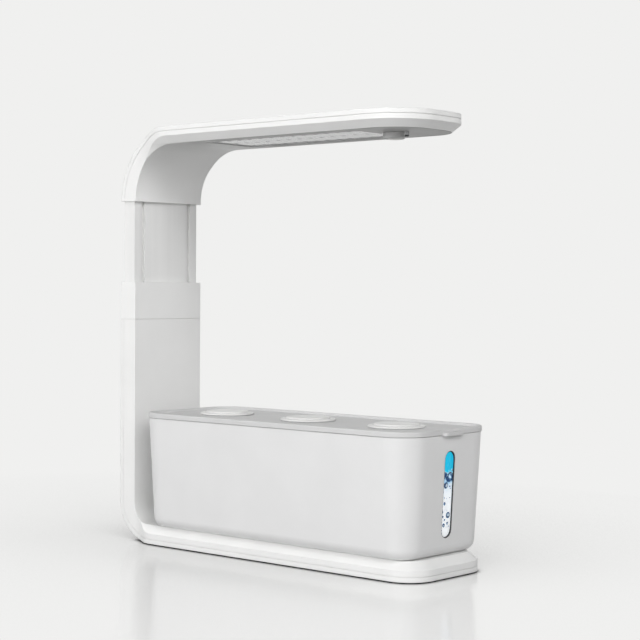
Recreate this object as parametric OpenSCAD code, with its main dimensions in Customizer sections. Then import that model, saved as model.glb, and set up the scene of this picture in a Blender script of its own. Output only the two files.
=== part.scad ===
// Countertop hydroponic garden: a C-shaped lamp frame with a telescoping mast,
// a lift-off water tank with a sight window, a lid and three planting pods.
// X runs from the column to the free end, Z is up, and the origin lies on the
// worktop under the middle of the garden.

/* [Base and column] */
// Length of the base from the back of the column to its free end
base_len = 400; // [380:1:440]
// Width of the base
base_w = 116; // [110:1:130]
// Thickness of the base slab
base_t = 18; // [17:0.5:24]
// Corner radius at the free end of the base
base_end_r = 28; // [20:1:45]
// Width of the column
column_w = 95; // [90:1:100]
// Depth of the column from back to front
column_t = 22; // [21:0.5:28]
// Outside radius of the bend between base and column
bend_r = 41; // [36:1:50]
// Inside radius of the bend between base and column
bend_in_r = 22; // [18:1:28]
// Height of the seam under the collar
seam_z = 231; // [215:1:245]
// Height of the collar
collar_h = 39; // [32:1:45]
// Thickness of the outside cover along back and bottom
cover_t = 5; // [4.5:0.25:6]
// Height of the rubber feet under the bottom cover
foot_h = 1; // [0.8:0.1:2]
// Radius of a rubber foot
foot_r = 7; // [5:0.5:9]

/* [Bevel and flare] */
// Width of the bevel along the inside edges of base and arm
bevel_w = 9; // [6:0.5:10]
// Height of the same bevel
bevel_h = 7.4; // [5:0.2:8]
// Length over which the base widens from column width to base width
base_flare = 36; // [28:1:50]
// Length over which the arm widens from column width to arm width
arm_flare = 54; // [40:1:64]

/* [Mast] */
// Reach of the lamp arm from the back of the column
arm_len = 386; // [366:1:410]
// Width of the lamp arm
arm_w = 116; // [110:1:130]
// Thickness of the lamp arm
arm_t = 17; // [16.5:0.5:20]
// Height of the top of the lamp arm as shown
arm_top = 428.5; // [424:0.5:440]
// Corner radius at the tip of the arm
arm_end_r = 46; // [30:1:54]
// Outside radius of the elbow
elbow_r = 74; // [70:1:78]
// Inside radius of the elbow
elbow_in_r = 55; // [52:1:57]
// How far the mast goes down from the height shown
mast_down = 84; // [60:1:84]
// How far the mast goes up from the height shown
mast_up = 40; // [20:1:60]
// Gap between the post and the channel that it slides in
post_gap = 0.3; // [0.2:0.05:0.5]
// Wall of the channel on each side of the post
channel_side = 2.2; // [2:0.1:3]
// Wall of the channel behind the post
channel_back = 2.2; // [2:0.1:3]
// Wall of the channel in front of the post
channel_front = 4; // [3.5:0.1:5]
// Length of the post inside the column as shown
post_in = 119; // [105:1:119]
// Width of a guide groove down the front of the post
groove_w = 5.5; // [4:0.5:7]
// Depth of a guide groove
groove_d = 3.5; // [2.5:0.5:4.5]
// Distance between the two guide grooves
groove_pitch = 66; // [60:1:70]

/* [Lamp] */
// Length of the lens panel
lens_l = 200; // [180:1:204]
// Width of the lens panel
lens_w = 68; // [60:1:72]
// Distance from the back of the column to the lens panel
lens_x = 112; // [106:1:118]
// Thickness of the lens panel
lens_t = 2; // [1.6:0.1:2.4]
// LED columns along the board
led_columns = 13; // [10:1:14]
// LED rows across the board
led_rows = 5; // [4:1:6]
// Distance from the lens panel to the middle of the button
button_gap = 16; // [14:1:20]
// Radius of the button housing
boss_r = 10.5; // [9.5:0.5:12]
// How far the button housing stands below the arm
boss_h = 6; // [5:0.5:7]
// Radius of the push button
button_r = 6.5; // [5:0.5:7]
// Travel of the push button
button_travel = 1.2; // [0.8:0.1:1.5]

/* [Tank] */
// Length of the tank at its rim
tank_l = 351; // [340:1:352]
// Width of the tank at its rim
tank_w = 131; // [126:1:140]
// Height of the tank
tank_h = 112; // [104:1:118]
// Corner radius of the tank at its rim
tank_r = 28; // [25:1:34]
// How far each side leans in from rim to bottom
tank_draft = 6.3; // [5.5:0.1:8]
// Radius of the rounded bottom edge
tank_fillet = 10.5; // [8:0.5:11]
// Wall of the tank
tank_wall = 2.6; // [2.2:0.1:3.2]
// Distance from the back of the column to the middle of the tank
tank_x = 222; // [220:1:224]
// Width of the sight window
window_w = 15.5; // [12:0.5:18]
// Height of the sight window
window_h = 81; // [60:1:84]
// Height of the middle of the sight window above the tank floor
window_z = 57; // [52:1:60]

/* [Lid and pods] */
// Thickness of the lid at its rim
lid_t = 5.2; // [4.6:0.1:6.5]
// How far the lid stands out over the tank rim
lid_over = 0.75; // [0.4:0.05:1.5]
// Thickness of the sunken field of the lid
lid_field_t = 2.9; // [2.4:0.1:3.4]
// Width of the rim round the field of the lid
lid_rim_w = 4.5; // [3:0.5:6]
// Width of the pull tab
tab_w = 28; // [20:1:36]
// How far the pull tab stands out
tab_l = 4.5; // [4:0.5:8]
// Distance between planting pods
pod_pitch = 111.3; // [108:0.5:113]
// Radius of the flange of a pod basket
flange_r = 27.3; // [26:0.1:29]
// Thickness of the flange
flange_t = 2.2; // [1.8:0.1:2.5]
// Radius of the basket under its flange
basket_r = 22.4; // [21:0.1:23]
// Radius of the basket at its bottom
basket_low_r = 17.5; // [16:0.5:19]
// Depth of the basket below the lid
basket_depth = 60; // [50:1:70]
// Wall of the basket
basket_wall = 1.4; // [1.2:0.1:1.8]
// Slots round a basket
basket_slots = 10; // [6:1:12]
// Height of the sponge in a basket
sponge_h = 40; // [30:1:44]
// How far the cap stands above the flange
cap_rise = 1.3; // [1:0.1:2]

/* [Hidden] */
$fn = 96;

white = [0.93, 0.93, 0.92];
off_white = [0.88, 0.88, 0.87];
pale_grey = [0.78, 0.78, 0.78];
dark_grey = [0.25, 0.25, 0.26];
board_green = [0.15, 0.42, 0.25];
steel = [0.7, 0.7, 0.72];
water_blue = [0.35, 0.75, 0.92];
sponge_brown = [0.35, 0.25, 0.18];

far = 1000;                       // reach of a cutting block
eps = 0.01;                       // overlap of a cut through a face
seat_gap = 0.3;                   // gap at rest between pieces that lift apart
groove_line = 0.4;                // open line between a cover and its shell
groove_line_d = 0.35;             // depth of that line
flare_ease = 0.02;                // how far the arcs of a flare overshoot
board_t = 1.6;                    // thickness of a circuit board
foot_in = 1;                      // how far a rubber foot is let into the cover
foot_fit = 0.15;                  // gap round a rubber foot

base_top = foot_h + base_t;
collar_top = seam_z + collar_h;
rim_z = arm_top - elbow_r;        // lower rim of the elbow
arm_low = arm_top - arm_t;        // underside of the arm
overall_len = tank_x + tank_l / 2 + lid_over + tab_l;

// post and channel
channel_x0 = channel_back;
channel_x1 = column_t - channel_front;
channel_w = column_w - 2 * channel_side;
post_x0 = channel_x0 + post_gap;
post_x1 = channel_x1 - post_gap;
post_w = channel_w - 2 * post_gap;
post_low = collar_top - post_in;
channel_low = post_low - mast_down - 2;
post_wall = 2.2;
tenon_h = 14;
tenon_w = 60;
tenon_x0 = 9;
tenon_x1 = 16.5;
tenon_fit = 0.1;
head_t = 3;                       // closed head of the post
key_z0 = seam_z + 9;
key_h = 26;
key_gap = 0.3;
groove_low = key_z0 - mast_up - key_gap;

// base cavity, closed by the bottom cover
base_wall = 3;                    // least wall beside the cavity
cavity_x0 = bend_r + 4 * base_wall;
cavity_x1 = base_len - base_end_r + 2 * base_wall;
cavity_w = base_w - 2 * bevel_w - 2 * base_wall;
rib_t = 2.4;
bay_count = 5;
boss_inset = 8;                   // from the side of the cavity to a screw boss
first_boss = 12;                  // from the end of the cavity to the first one
screw_r = 1.5;
screw_head_r = 2.9;
screw_head_h = 1.8;
screw_boss_r = 4;
screw_len = 9;
screw_sunk = 0.6;                 // how far a head is let in
screw_tip = 1;                    // tapered tip

// control board, in a bay of its own beside the column
pcb_l = 36;
pcb_w = 48;
pcb_lift = 2;
pcb_gap = 14.5;                   // free length of the bay at each end
pcb_bay = pcb_l + 2 * pcb_gap;
pcb_margin = 3;                   // from the board's edge to a stand-off

// power inlet
inlet_z = 52;
inlet_r = 5.5;
inlet_l = 12;
inlet_bore_r = 3.1;
inlet_face_r = 7.5;
inlet_face_t = 1.2;

// lamp
lens_recess = 0.8;
led_t = 1;
lens_ledge = 3;                   // that the lens panel rests against
chip_side = 3;
chip_margin_x = 10;               // from the end of the panel to the first chip
chip_margin_y = 8;
chip_clear = 0.6;                 // from the chips to the panel
board_z = arm_low + lens_recess + lens_t + led_t + chip_clear;
button_x = lens_x + lens_l + button_gap;
button_rim = 1.7;                 // how far the rim of the button stands out
button_play = 0.3;                // gap between button and housing
switch_in = 3.1;                  // depth of the switch above the underside
switch_z = arm_low + switch_in;
switch_t = 4;
switch_side = 12;
housing_low = arm_low - boss_h;
housing_flange = 1.2;
status_gap = 4.5;                 // from the housing to the middle of the light
status_x = button_x + boss_r + status_gap;
status_r = 2.2;
status_in = 3;
status_out = 4.8;

// tank
tank_low = base_top + seat_gap;
tank_top = tank_low + tank_h;
draft_angle = atan(tank_draft / tank_h);
tank_foot_h = 1.2;
tank_foot_r = 12;
tank_foot_inset = tank_draft + tank_fillet + tank_foot_r / 2;
rabbet_d = 1.5;
rabbet_w = 1.3;
lens_fit = 0.1;
window_flange = 3;
window_recess = 1.1;              // from the outside of the tank to the pane
gasket_t = 0.8;
sleeve_t = 0.5;                   // wall of the gasket's sleeve in the hole
sleeve_in = 0.2;                  // from the outside of the tank to the sleeve

// lid and pods
lid_low = tank_top + seat_gap;
lid_top = lid_low + lid_t;
lid_field = lid_low + lid_field_t;
lid_l = tank_l + 2 * lid_over;
lid_w = tank_w + 2 * lid_over;
lid_r = tank_r + lid_over;
lip_h = 5;
lip_t = 1.8;
lip_inset = tank_wall + seat_gap + 0.5;   // from the rim line of the tank to the lip
rim_edge = 1.2;                   // rounding of the outside edge of the lid
rim_slope = 1.6;                  // width of the sloped inside of the rim
tab_root = 3;                     // how far the tab reaches into the lid
tab_t = 2.6;
tab_corner = 3;
tab_drop = 0.5;                   // how far the tab hangs below the lid
pods = 3;
pod_hole_r = basket_r + seat_gap;
flange_z = lid_field + seat_gap;
cap_seat_r = basket_r - basket_wall + 0.9;
cap_seat_d = 1.1;
cap_groove = 0.8;                 // bevel of the flange beside the cap
cap_r = cap_seat_r - seat_gap;
slot_h = 34;
slot_w = 4;

// ---------------------------------------------------------------- helpers

// Everything is drawn from the back of the column, then set about the middle.
module place() translate([-overall_len / 2, 0, 0]) children();

// Side profile drawn in X and Z, carried across the width.
module across(w) rotate([90, 0, 0]) linear_extrude(w, center = true) children();

// Region right of x0 and above z0 whose corner is rounded.
module corner(x0, z0, r) {
    translate([x0, z0 + r]) square([far, far]);
    translate([x0 + r, z0]) square([far, far]);
    translate([x0 + r, z0 + r]) circle(r);
}

// L-shaped band with a rounded bend: the leg stands on the foot at its left end.
// from and to are depths measured from the outside face.
module band(foot, leg, r_out, from, to) {
    intersection() {
        square([foot, leg]);
        difference() {
            corner(from, from, r_out - from);
            corner(to, to, r_out - to);
        }
    }
}

// The same band with its own thickness in the leg and in the foot.
module frame_band(foot, leg, r_out, r_in, leg_t, foot_t, from) {
    intersection() {
        square([foot, leg]);
        difference() {
            corner(from, from, r_out - from);
            corner(leg_t, foot_t, r_in);
        }
    }
}

// One side of the flare, to be cut away: it swings out by two equal arcs with a
// short straight stretch between them. Each arc is set off by flare_ease, so that
// it crosses the lines beside it at a clear angle.
module flare_cut(x1, h1, x2, h2) {
    run = x2 - x1;
    rise = h2 - h1;
    r = (run * run + rise * rise) / (4 * rise);
    reach = rise + 10;
    translate([x1 - far, h1]) square([far, reach]);
    intersection() {
        translate([x1, h1]) square([run / 2, reach]);
        translate([x1, h1 + r - flare_ease]) circle(r, $fn = 360);
        above_flare(x1, h1, run, rise, r);
    }
    difference() {
        translate([x1 + run / 2, h1]) square([run / 2, reach]);
        difference() {
            translate([x2, h2 - r + flare_ease]) circle(r, $fn = 360);
            above_flare(x1, h1, run, rise, r);
        }
    }
}

// Half-plane above the straight stretch through the middle of the flare.
module above_flare(x1, h1, run, rise, r)
    translate([x1 + run / 2, h1 + rise / 2]) rotate(asin(run / 2 / r))
        translate([-far / 2, 0]) square([far, far]);

// Plan of base or arm: narrow at the column, flared, with a rounded free end.
module plan(len, w, end_r, flare, inset = 0) {
    difference() {
        union() {
            translate([-eps, -w / 2 + inset]) square([len - end_r + eps, w - 2 * inset]);
            translate([0, -w / 2 + end_r]) square([len - inset, w - 2 * end_r]);
            for (s = [-1, 1])
                translate([len - end_r, s * (w / 2 - end_r)]) circle(end_r - inset);
        }
        for (s = [0, 1])
            mirror([0, s]) flare_cut(column_t, column_w / 2 - inset, column_t + flare, w / 2 - inset);
    }
}

// Section carried along both sides and round the free end. In the section X is
// measured outwards from the edge and Y is height.
module round_end(x0, len, w, r) {
    for (s = [0, 1])
        mirror([0, s, 0]) {
            translate([x0, w / 2, 0]) rotate([90, 0, 90]) linear_extrude(len - r - x0) children();
            translate([len - r, w / 2 - r, 0]) rotate_extrude(angle = 90) translate([r, 0]) children();
        }
    translate([len, 0, 0]) rotate([90, 0, 0]) linear_extrude(w - 2 * r, center = true) children();
}

// Section carried round a closed rounded rectangle. At the corners it is cut off at
// the axis that it turns about.
module round_all(l, w, r) {
    for (sx = [0, 1], sy = [0, 1])
        mirror([sx, 0, 0]) mirror([0, sy, 0])
            translate([l / 2 - r, w / 2 - r, 0]) rotate_extrude(angle = 90) intersection() {
                translate([r, 0]) children();
                translate([0, -far / 2]) square(far);
            }
    for (s = [0, 1]) {
        mirror([0, s, 0]) translate([-(l / 2 - r), w / 2, 0])
            rotate([90, 0, 90]) linear_extrude(l - 2 * r) children();
        mirror([s, 0, 0]) translate([l / 2, 0, 0])
            rotate([90, 0, 0]) linear_extrude(w - 2 * r, center = true) children();
    }
}

module rounded_plate(l, w, r, h) {
    linear_extrude(h) {
        square([l, w - 2 * r], center = true);
        square([l - 2 * r, w], center = true);
        for (sx = [-1, 1], sy = [-1, 1])
            translate([sx * (l / 2 - r), sy * (w / 2 - r)]) circle(r);
    }
}

// Triangle that bevels an edge: X is measured outwards from the edge, Y inwards
// from the face.
module bevel_section() {
    slope = bevel_w / bevel_h;
    polygon([[-bevel_w - slope, -1], [slope, bevel_h + 1], [slope, -1]]);
}

// Bevel along the inside edges of a frame that lies on its outside face.
module bevel_cut(leg_t, foot_t, r_in, len, w, end_r) {
    x0 = leg_t + r_in;
    z0 = foot_t + r_in;
    translate([0, 0, foot_t]) mirror([0, 0, 1]) round_end(x0, len, w, end_r) bevel_section();
    for (s = [0, 1])
        mirror([0, s, 0]) translate([x0, 0, z0]) rotate([-90, 0, 0])
            rotate([0, 0, 90]) rotate_extrude(angle = 90)
                translate([r_in, w / 2]) mirror([1, -1]) bevel_section();
}

// Open line along the joint of a cover and its shell.
module joint_line(foot, leg, r_out, w, end_r, flare) {
    difference() {
        across(w + 2) band(foot + 2, leg, r_out, cover_t - groove_line, cover_t);
        translate([0, 0, -1]) linear_extrude(leg + 2)
            plan(foot, w, end_r, flare, groove_line_d);
    }
}

module channel_cut(z0, z1) {
    translate([channel_x0, -channel_w / 2, z0]) cube([channel_x1 - channel_x0, channel_w, z1 - z0]);
}

module screw(len) {
    rotate_extrude()
        polygon([[0, 0], [screw_head_r, 0], [screw_head_r, screw_head_h], [screw_r, screw_head_h],
            [screw_r, len - screw_tip], [0, len]]);
}

// Places of the screws in the bottom cover.
module at_cover_screws() {
    for (i = [0, 2, bay_count - 1], s = [-1, 1])
        translate([cavity_x0 + rib_x(i) + (i == 0 ? first_boss : 0), s * (cavity_w / 2 - boss_inset), foot_h])
            children();
}

// Distance of a rib from the end of the cavity: the first bay holds the board.
function rib_x(i) = i == 0 ? 0
    : pcb_bay + (cavity_x1 - cavity_x0 - pcb_bay) * (i - 1) / (bay_count - 1);

// ---------------------------------------------------------------- base

module base_solid(from) {
    intersection() {
        across(base_w) translate([0, foot_h])
            frame_band(base_len, seam_z - foot_h, bend_r, bend_in_r, column_t, base_t, from);
        linear_extrude(seam_z) plan(base_len, base_w, base_end_r, base_flare);
    }
}

module base_cavity() {
    height = base_top - base_wall - (foot_h + cover_t);
    difference() {
        translate([cavity_x0, -cavity_w / 2, foot_h + cover_t - eps])
            cube([cavity_x1 - cavity_x0, cavity_w, height + eps]);
        for (i = [1 : bay_count - 1])
            translate([cavity_x0 + rib_x(i) - rib_t / 2, -cavity_w / 2, 0])
                cube([rib_t, cavity_w, base_top]);
        at_cover_screws() cylinder(r = screw_boss_r, h = base_t);
    }
}

module tank_foot_pocket() {
    translate([tank_x, 0, base_top - tank_foot_h])
        rounded_plate(tank_l - 2 * tank_foot_inset + 2 * seat_gap,
            tank_w - 2 * tank_foot_inset + 2 * seat_gap, tank_foot_r + seat_gap, tank_foot_h + 1);
}

module base_frame() {
    color(white) place() difference() {
        base_solid(cover_t);
        translate([0, 0, foot_h])
            bevel_cut(column_t, base_t, bend_in_r, base_len, base_w, base_end_r);
        channel_cut(channel_low, seam_z + 1);
        base_cavity();
        tank_foot_pocket();
        at_cover_screws() cylinder(r = screw_r, h = screw_len + screw_tip);
        inlet_cut();
    }
}

module back_cover() {
    color(white) place() difference() {
        intersection() {
            across(base_w) translate([0, foot_h])
                band(base_len, seam_z - foot_h, bend_r, 0, cover_t);
            linear_extrude(seam_z) plan(base_len, base_w, base_end_r, base_flare);
        }
        translate([0, 0, foot_h])
            joint_line(base_len, seam_z, bend_r, base_w, base_end_r, base_flare);
        channel_cut(channel_low, seam_z + 1);
        at_cover_screws() {
            translate([0, 0, -1]) cylinder(r = screw_head_r + seat_gap, h = screw_head_h + 1 + screw_sunk);
            cylinder(r = screw_r + seat_gap, h = cover_t + 1);
        }
        at_feet() cylinder(r = foot_r + foot_fit, h = foot_h + foot_in);
        inlet_cut();
    }
}

module at_feet() {
    for (x = [bend_r + 4, base_len - base_end_r], s = [-1, 1])
        translate([x, s * (base_w / 2 - base_end_r + 8), 0]) children();
}

module feet() {
    edge = 0.6;
    top = foot_h + foot_in;
    color(dark_grey) place() at_feet()
        rotate_extrude()
            polygon([[0, 0], [foot_r - edge, 0], [foot_r, edge], [foot_r, top], [0, top]]);
}

module cover_screws() {
    color(steel) place() at_cover_screws() translate([0, 0, screw_sunk]) screw(screw_len);
}

// Board on the bottom cover, with the parts that switch and time the lamp.
module control_board() {
    chip = 9;
    driver = [8, 12, 4];
    capacitor_r = 3.2;
    capacitor_h = 5;
    color(board_green) place() translate([cavity_x0 + pcb_gap + pcb_l / 2, 0, foot_h + cover_t]) {
        translate([-pcb_l / 2, -pcb_w / 2, pcb_lift]) cube([pcb_l, pcb_w, board_t]);
        for (sx = [-1, 1], sy = [-1, 1])
            translate([sx * (pcb_l / 2 - pcb_margin), sy * (pcb_w / 2 - pcb_margin), 0])
                cylinder(r = 2, h = pcb_lift);
        translate([0, 0, pcb_lift + board_t]) {
            translate([-pcb_l / 3, -pcb_w / 3, 0]) cube([chip, chip, board_t]);
            translate([pcb_l / 6, pcb_w / 6, 0]) cylinder(r = capacitor_r, h = capacitor_h);
            translate([pcb_l / 6, -pcb_w / 3, 0]) cube(driver);
        }
    }
}

module inlet_cut() {
    translate([-1, 0, inlet_z]) rotate([0, 90, 0]) {
        cylinder(r = inlet_r + 0.1, h = inlet_l + 1 + inlet_face_t);
        cylinder(r = inlet_face_r + 0.15, h = 1 + inlet_face_t);
    }
}

// Barrel socket for the mains adapter, low in the back of the column.
module power_inlet() {
    color(dark_grey) place() translate([0, 0, inlet_z]) rotate([0, 90, 0]) {
        difference() {
            union() {
                cylinder(r = inlet_face_r, h = inlet_face_t);
                cylinder(r = inlet_r, h = inlet_l);
            }
            translate([0, 0, -1]) cylinder(r = inlet_bore_r, h = inlet_l - 1);
        }
        cylinder(r = 1, h = inlet_l - 2);
    }
}

module collar() {
    color(white) place() difference() {
        translate([0, -column_w / 2, seam_z]) cube([column_t, column_w, collar_h]);
        translate([0, 0, seam_z]) difference() {
            translate([-1, -column_w / 2 - 1, -1]) cube([column_t + 2, column_w + 2, groove_line + 1]);
            translate([groove_line_d, -column_w / 2 + groove_line_d, -2])
                cube([column_t - 2 * groove_line_d, column_w - 2 * groove_line_d, groove_line + 3]);
        }
        channel_cut(seam_z - 1, collar_top + 1);
    }
}

// Keys that run in the grooves of the post and stop it at its full height.
module guide_keys() {
    key_w = groove_w - 2 * key_gap;
    key_d = groove_d - 2 * key_gap;
    color(off_white) place() for (s = [-1, 1])
        translate([channel_x1 - post_gap - key_d, s * groove_pitch / 2 - key_w / 2, key_z0])
            cube([key_d + post_gap, key_w, key_h]);
}

// ---------------------------------------------------------------- mast

module post_section() {
    d = post_x1 - post_x0;
    mid_w = groove_pitch - groove_w - 2 * post_wall;
    side_w = (post_w - groove_pitch - groove_w) / 2 - 2 * post_wall;
    difference() {
        translate([post_x0, -post_w / 2]) square([d, post_w]);
        for (s = [-1, 1])
            translate([post_x1 - groove_d, s * groove_pitch / 2 - groove_w / 2])
                square([groove_d + 1, groove_w]);
        translate([post_x0 + post_wall, -mid_w / 2]) square([d - 2 * post_wall, mid_w]);
        if (side_w > 1)
            for (s = [-1, 1])
                translate([post_x0 + post_wall, s * (post_w / 2 - post_wall - side_w / 2) - side_w / 2])
                    square([d - 2 * post_wall, side_w]);
    }
}

module post() {
    color(white) place() {
        translate([0, 0, post_low]) linear_extrude(rim_z - post_low) post_section();
        // below the grooves the front face is whole, which stops the keys
        for (s = [-1, 1])
            translate([post_x1 - groove_d, s * groove_pitch / 2 - groove_w / 2, post_low])
                cube([groove_d, groove_w, groove_low - post_low]);
        // closed head with a tenon that the elbow is screwed to
        translate([post_x0, -post_w / 2 + post_wall, rim_z - head_t])
            cube([post_x1 - post_x0 - groove_d, post_w - 2 * post_wall, head_t]);
        difference() {
            translate([tenon_x0, -tenon_w / 2, rim_z - head_t])
                cube([tenon_x1 - tenon_x0, tenon_w, tenon_h + head_t]);
            at_arm_screws() cylinder(r = screw_r, h = column_t);
            for (s = [-1, 1])
                translate([post_x1 - groove_d, s * groove_pitch / 2 - groove_w / 2, rim_z - head_t - 1])
                    cube([groove_d + 1, groove_w, head_t + 1]);
        }
    }
}

// Screws that hold the elbow to the tenon, under the arm cover.
module at_arm_screws() {
    z = rim_z + tenon_h / 2;
    head_top = tenon_h / 2 + screw_head_r + seat_gap;
    x = elbow_r - sqrt(pow(elbow_r - cover_t, 2) - pow(head_top, 2));
    for (s = [-1, 1])
        translate([x, s * tenon_w / 4, z]) rotate([0, 90, 0]) children();
}

module arm_screws() {
    color(steel) place() at_arm_screws() screw(screw_len);
}

// Turns a frame that lies on its outside face over, so that the leg hangs down.
module turned() translate([0, 0, arm_top]) mirror([0, 0, 1]) children();

module lamp_pocket() {
    lens_gap = 0.2;
    translate([lens_x - lens_gap, -lens_w / 2 - lens_gap, arm_low - 1])
        cube([lens_l + 2 * lens_gap, lens_w + 2 * lens_gap, 1 + lens_recess + lens_t]);
    translate([lens_x + lens_ledge, -lens_w / 2 + lens_ledge, arm_low])
        cube([lens_l - 2 * lens_ledge, lens_w - 2 * lens_ledge, board_z + board_t - arm_low]);
}

module arm_shell() {
    color(white) place() difference() {
        turned() difference() {
            intersection() {
                across(arm_w)
                    frame_band(arm_len, elbow_r, elbow_r, elbow_in_r, column_t, arm_t, cover_t);
                linear_extrude(elbow_r) plan(arm_len, arm_w, arm_end_r, arm_flare);
            }
            bevel_cut(column_t, arm_t, elbow_in_r, arm_len, arm_w, arm_end_r);
        }
        lamp_pocket();
        // seat of the tenon
        translate([tenon_x0 - tenon_fit, -tenon_w / 2 - tenon_fit, rim_z - 1])
            cube([tenon_x1 - tenon_x0 + 2 * tenon_fit, tenon_w + 2 * tenon_fit, tenon_h + 1]);
        at_arm_screws() translate([0, 0, -2]) {
            cylinder(r = screw_head_r + 0.2, h = screw_head_h + 2);
            cylinder(r = screw_r + 0.1, h = screw_len);
        }
        // well of the button and of its switch
        translate([button_x, 0, arm_low - 1])
            cylinder(r = button_r + button_rim + button_play, h = 1 + switch_in);
        translate([button_x, 0, arm_low + (switch_in + switch_t) / 2])
            cube([switch_side + 2 * seat_gap, switch_side + 2 * seat_gap, switch_in + switch_t],
                center = true);
        translate([status_x, 0, arm_low - 1]) cylinder(r = status_r + 0.05, h = 1 + status_in);
    }
}

module arm_cover() {
    color(white) place() turned() difference() {
        intersection() {
            across(arm_w) band(arm_len, elbow_r, elbow_r, 0, cover_t);
            linear_extrude(elbow_r) plan(arm_len, arm_w, arm_end_r, arm_flare);
        }
        joint_line(arm_len, elbow_r + 1, elbow_r, arm_w, arm_end_r, arm_flare);
    }
}

module led_board() {
    inset = lens_ledge + seat_gap;
    color(white) place() translate([lens_x + inset, -lens_w / 2 + inset, board_z])
        cube([lens_l - 2 * inset, lens_w - 2 * inset, board_t]);
}

module led_chips() {
    step_x = (lens_l - 2 * chip_margin_x) / (led_columns - 0.5);
    step_y = (lens_w - 2 * chip_margin_y) / (led_rows - 1);
    color([0.95, 0.85, 0.4]) place()
        for (j = [0 : led_rows - 1], i = [0 : led_columns - 1])
            translate([lens_x + chip_margin_x + step_x * (i + (j % 2) / 2) - chip_side / 2,
                step_y * (j - (led_rows - 1) / 2) - chip_side / 2, board_z - led_t])
                cube([chip_side, chip_side, led_t]);
}

module lens_panel() {
    color(pale_grey) place()
        translate([lens_x, -lens_w / 2, arm_low + lens_recess]) cube([lens_l, lens_w, lens_t]);
}

// Round housing that guides the button, with a rounded lower edge.
module button_housing() {
    edge = 2.2;
    color(white) place() translate([button_x, 0, 0]) rotate_extrude() difference() {
        union() {
            translate([0, housing_low + edge]) square([boss_r, boss_h - edge]);
            translate([0, housing_low]) square([boss_r - edge, boss_h]);
            translate([boss_r - edge, housing_low + edge]) circle(edge);
        }
        translate([0, housing_low - 1]) square([button_r + button_play, boss_h + 2]);
        translate([0, arm_low - housing_flange - button_play])
            square([button_r + button_rim + button_play, housing_flange + button_play + 1]);
    }
}

module lamp_button() {
    proud = 0.4;
    pin_r = 2;
    pin_top = switch_z - button_travel - button_play;
    color(off_white) place() translate([button_x, 0, 0]) rotate_extrude()
        polygon([[0, housing_low - proud], [button_r - 2 * proud, housing_low - proud],
            [button_r, housing_low + proud], [button_r, arm_low - housing_flange],
            [button_r + button_rim, arm_low - housing_flange], [button_r + button_rim, arm_low],
            [pin_r, arm_low], [pin_r, pin_top], [0, pin_top]]);
}

module lamp_switch() {
    color(dark_grey) place() translate([button_x, 0, switch_z + switch_t / 2])
        cube([switch_side, switch_side, switch_t], center = true);
}

module status_light() {
    height = status_out + status_in;
    edge = 0.8;
    color(dark_grey) place() translate([status_x, 0, arm_low - status_out]) rotate_extrude()
        polygon([[0, 0], [status_r - edge, 0], [status_r, edge], [status_r, height], [0, height]]);
}

// ---------------------------------------------------------------- tank

// Wall line of the tank, set in by a depth, with its rounded bottom edge.
// X is measured outwards from the rim line and Y is height.
module tank_section(inset, low, top, fillet) {
    slope = tank_draft / tank_h;
    function line(z) = -tank_draft + slope * z - inset / cos(draft_angle);
    cx = line(low + fillet) - fillet / cos(draft_angle);
    cz = low + fillet;
    translate([cx, cz]) circle(fillet);
    polygon([[-tank_r, low], [cx, low], [cx + fillet * cos(draft_angle), cz - fillet * sin(draft_angle)],
        [line(top), top], [-tank_r, top]]);
}

module tank_form(inset, low, top, fillet) {
    round_all(tank_l, tank_w, tank_r) tank_section(inset, low, top, fillet);
    translate([-tank_l / 2 + tank_r, -tank_w / 2 + tank_r, low])
        cube([tank_l - 2 * tank_r, tank_w - 2 * tank_r, top - low]);
}

// Frame on the outside of the end wall: X points straight out of the wall.
module at_window() {
    z = window_z;
    x = tank_l / 2 - tank_draft + tank_draft / tank_h * z;
    translate([tank_x + x, 0, tank_low + z]) rotate([0, draft_angle, 0]) children();
}

module stadium(w, h, t) {
    rotate([90, 0, 90]) linear_extrude(t) {
        square([w, h - w], center = true);
        for (s = [-1, 1]) translate([0, s * (h - w) / 2]) circle(w / 2);
    }
}

module tank_shell() {
    color(white) place() difference() {
        union() {
            translate([tank_x, 0, tank_low]) difference() {
                tank_form(0, 0, tank_h, tank_fillet);
                tank_form(tank_wall, tank_wall, tank_h + 1, tank_fillet - tank_wall);
                // rabbet for the lid gasket
                translate([0, 0, tank_h - rabbet_d])
                    rounded_plate(tank_l - 2 * (tank_wall - rabbet_w), tank_w - 2 * (tank_wall - rabbet_w),
                        tank_r - tank_wall + rabbet_w, rabbet_d + 1);
            }
            translate([tank_x, 0, tank_low - tank_foot_h])
                rounded_plate(tank_l - 2 * tank_foot_inset, tank_w - 2 * tank_foot_inset, tank_foot_r,
                    tank_foot_h + tank_wall / 2);
        }
        at_window() translate([-tank_wall - 5, 0, 0]) stadium(window_w, window_h, tank_wall + 10);
    }
}

// Clear pane let in from inside, with a broad flange behind the wall.
module sight_window() {
    clamp_t = 1.6;
    around = 2 * (sleeve_t + 2 * lens_fit);
    color(water_blue) place() at_window() {
        translate([-tank_wall - gasket_t - eps, 0, 0])
            stadium(window_w - around, window_h - around, tank_wall + gasket_t - window_recess + eps);
        translate([-tank_wall - gasket_t - clamp_t, 0, 0])
            stadium(window_w + 2 * window_flange, window_h + 2 * window_flange, clamp_t);
    }
}

// Flat gasket behind the wall with a sleeve that lines the hole.
module window_gasket() {
    bore = 2 * (sleeve_t + lens_fit);
    color(dark_grey) place() at_window() translate([-tank_wall - gasket_t, 0, 0]) difference() {
        union() {
            stadium(window_w + 2 * window_flange - 1, window_h + 2 * window_flange - 1, gasket_t);
            stadium(window_w - 2 * lens_fit, window_h - 2 * lens_fit, tank_wall + gasket_t - sleeve_in);
        }
        translate([-1, 0, 0]) stadium(window_w - bore, window_h - bore, tank_wall + gasket_t + 2);
    }
}

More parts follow.
